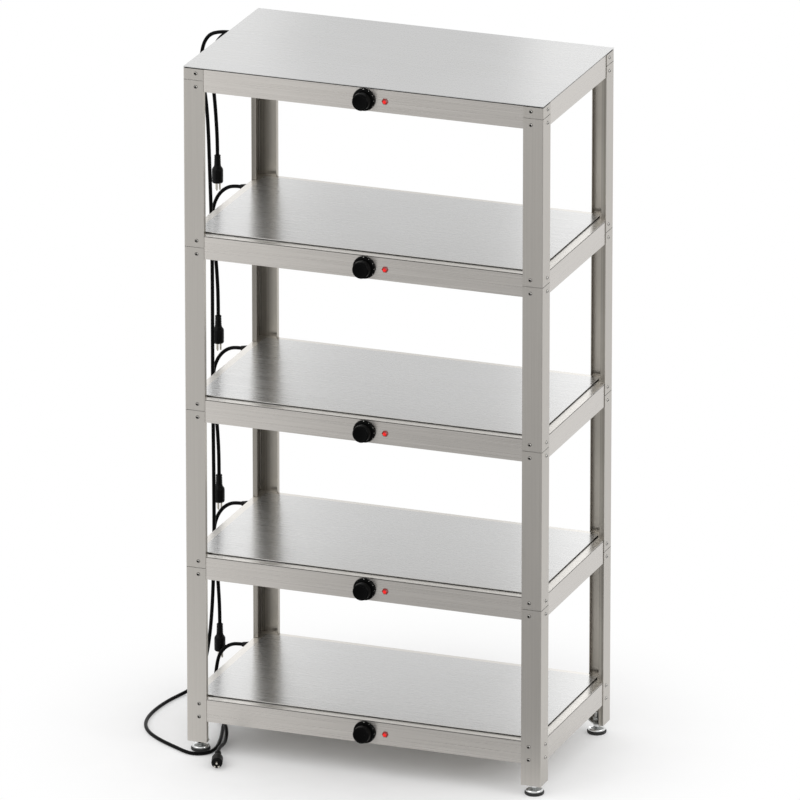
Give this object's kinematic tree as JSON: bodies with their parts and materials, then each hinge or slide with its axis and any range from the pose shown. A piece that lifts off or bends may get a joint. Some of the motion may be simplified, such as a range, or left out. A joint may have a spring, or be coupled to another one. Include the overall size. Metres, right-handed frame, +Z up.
{
  "type": "heated shelf",
  "caption": "Free standing stainless rack of heated shelves on folded corner posts, each tier with a control knob, a pilot lamp and a cord.",
  "frame": {"origin": "on the floor under the centre of the rack's bounding box, its free cords left out", "axes": "+Z up, -Y to the front with the knobs, +X to the right as seen from the front"},
  "size_m": [1.0784, 0.7327, 1.721],
  "materials": {
    "stainless_sheet": "satin brushed",
    "stainless_plate": "satin brushed along X",
    "polished_steel": "polished",
    "plated_steel": "bright zinc",
    "knob_plastic": "gloss",
    "seal_rubber": "matt",
    "heater_rubber": "matt",
    "mineral_wool": "matt",
    "housing_plastic": "matt",
    "lamp_lens": "gloss translucent",
    "gland_plastic": "matt",
    "foot_rubber": "matt",
    "cord_rubber": "satin",
    "plug_rubber": "matt"
  },
  "bodies": {
    "root": {"apron_1": "stainless_sheet", "apron_2": "stainless_sheet", "apron_3": "stainless_sheet", "apron_4": "stainless_sheet", "apron_5": "stainless_sheet", "bottom_covers": "stainless_sheet", "cord_glands": "gland_plastic", "deck_1": "stainless_plate", "deck_2": "stainless_plate", "deck_3": "stainless_plate", "deck_4": "stainless_plate", "deck_5": "stainless_plate", "foot_brackets": "plated_steel", "heating_mats": "heater_rubber", "insulation_slabs": "mineral_wool", "pilot_lamps": "lamp_lens", "post_back_left": "stainless_sheet", "post_back_right": "stainless_sheet", "post_front_left": "stainless_sheet", "post_front_right": "stainless_sheet", "post_screws": "polished_steel", "rim_2": "stainless_sheet", "rim_3": "stainless_sheet", "rim_4": "stainless_sheet", "rim_5": "stainless_sheet", "seals": "seal_rubber", "shelf_cord_1": "cord_rubber", "shelf_cord_2": "cord_rubber", "shelf_cord_3": "cord_rubber", "shelf_cord_4": "cord_rubber", "shelf_cord_5": "cord_rubber", "shelf_plug_1": "plug_rubber", "shelf_plug_2": "plug_rubber", "shelf_plug_3": "plug_rubber", "shelf_plug_4": "plug_rubber", "shelf_plug_5": "plug_rubber", "supply_coil": "cord_rubber", "supply_cord": "cord_rubber", "supply_plug": "plug_rubber", "terminal_blocks": "housing_plastic", "thermostats": "housing_plastic"},
    "knob_1": {"knob_1": "knob_plastic", "knob_shaft_1": "plated_steel"},
    "knob_2": {"knob_2": "knob_plastic", "knob_shaft_2": "plated_steel"},
    "knob_3": {"knob_3": "knob_plastic", "knob_shaft_3": "plated_steel"},
    "knob_4": {"knob_4": "knob_plastic", "knob_shaft_4": "plated_steel"},
    "knob_5": {"knob_5": "knob_plastic", "knob_shaft_5": "plated_steel"},
    "foot_pad_front_left": {"foot_pad_front_left": "foot_rubber"},
    "foot_stem_front_left": {"foot_stem_front_left": "plated_steel"},
    "foot_pad_front_right": {"foot_pad_front_right": "foot_rubber"},
    "foot_stem_front_right": {"foot_stem_front_right": "plated_steel"},
    "foot_pad_back_left": {"foot_pad_back_left": "foot_rubber"},
    "foot_stem_back_left": {"foot_stem_back_left": "plated_steel"},
    "foot_pad_back_right": {"foot_pad_back_right": "foot_rubber"},
    "foot_stem_back_right": {"foot_stem_back_right": "plated_steel"}
  },
  "joints": [
    {"name": "knob_1_turn", "type": "hinge", "parent": "root", "child": "knob_1", "pos_m": [0.0139, -0.23035, 1.6895], "axis": [0, 1, 0], "range_deg": [0, 300]},
    {"name": "knob_2_turn", "type": "hinge", "parent": "root", "child": "knob_2", "pos_m": [0.0139, -0.23035, 1.2755], "axis": [0, 1, 0], "range_deg": [0, 300]},
    {"name": "knob_3_turn", "type": "hinge", "parent": "root", "child": "knob_3", "pos_m": [0.0139, -0.23035, 0.8675], "axis": [0, 1, 0], "range_deg": [0, 300]},
    {"name": "knob_4_turn", "type": "hinge", "parent": "root", "child": "knob_4", "pos_m": [0.0139, -0.23035, 0.4715], "axis": [0, 1, 0], "range_deg": [0, 300]},
    {"name": "knob_5_turn", "type": "hinge", "parent": "root", "child": "knob_5", "pos_m": [0.0139, -0.23035, 0.1095], "axis": [0, 1, 0], "range_deg": [0, 300]},
    {"name": "foot_front_left_lift", "type": "slide", "parent": "root", "child": "foot_pad_front_left", "axis": [0, 0, 1], "range_m": [-0.015, 0]},
    {"name": "foot_front_left_screw", "type": "hinge", "parent": "foot_pad_front_left", "child": "foot_stem_front_left", "pos_m": [-0.4151, -0.20685, 0.008], "axis": [0, 0, 1], "range_deg": [-3605, 5]},
    {"name": "foot_front_right_lift", "type": "slide", "parent": "root", "child": "foot_pad_front_right", "axis": [0, 0, 1], "range_m": [-0.015, 0]},
    {"name": "foot_front_right_screw", "type": "hinge", "parent": "foot_pad_front_right", "child": "foot_stem_front_right", "pos_m": [0.4349, -0.20685, 0.008], "axis": [0, 0, 1], "range_deg": [-3605, 5]},
    {"name": "foot_back_left_lift", "type": "slide", "parent": "root", "child": "foot_pad_back_left", "axis": [0, 0, 1], "range_m": [-0.015, 0]},
    {"name": "foot_back_left_screw", "type": "hinge", "parent": "foot_pad_back_left", "child": "foot_stem_back_left", "pos_m": [-0.4151, 0.23315, 0.008], "axis": [0, 0, 1], "range_deg": [-3605, 5]},
    {"name": "foot_back_right_lift", "type": "slide", "parent": "root", "child": "foot_pad_back_right", "axis": [0, 0, 1], "range_m": [-0.015, 0]},
    {"name": "foot_back_right_screw", "type": "hinge", "parent": "foot_pad_back_right", "child": "foot_stem_back_right", "pos_m": [0.4349, 0.23315, 0.008], "axis": [0, 0, 1], "range_deg": [-3605, 5]}
  ],
  "couplings": [
    {"joint": "foot_front_left_screw", "follows": "foot_front_left_lift", "rad_per_m": 4188.8},
    {"joint": "foot_front_right_screw", "follows": "foot_front_right_lift", "rad_per_m": 4188.8},
    {"joint": "foot_back_left_screw", "follows": "foot_back_left_lift", "rad_per_m": 4188.8},
    {"joint": "foot_back_right_screw", "follows": "foot_back_right_lift", "rad_per_m": 4188.8}
  ]
}
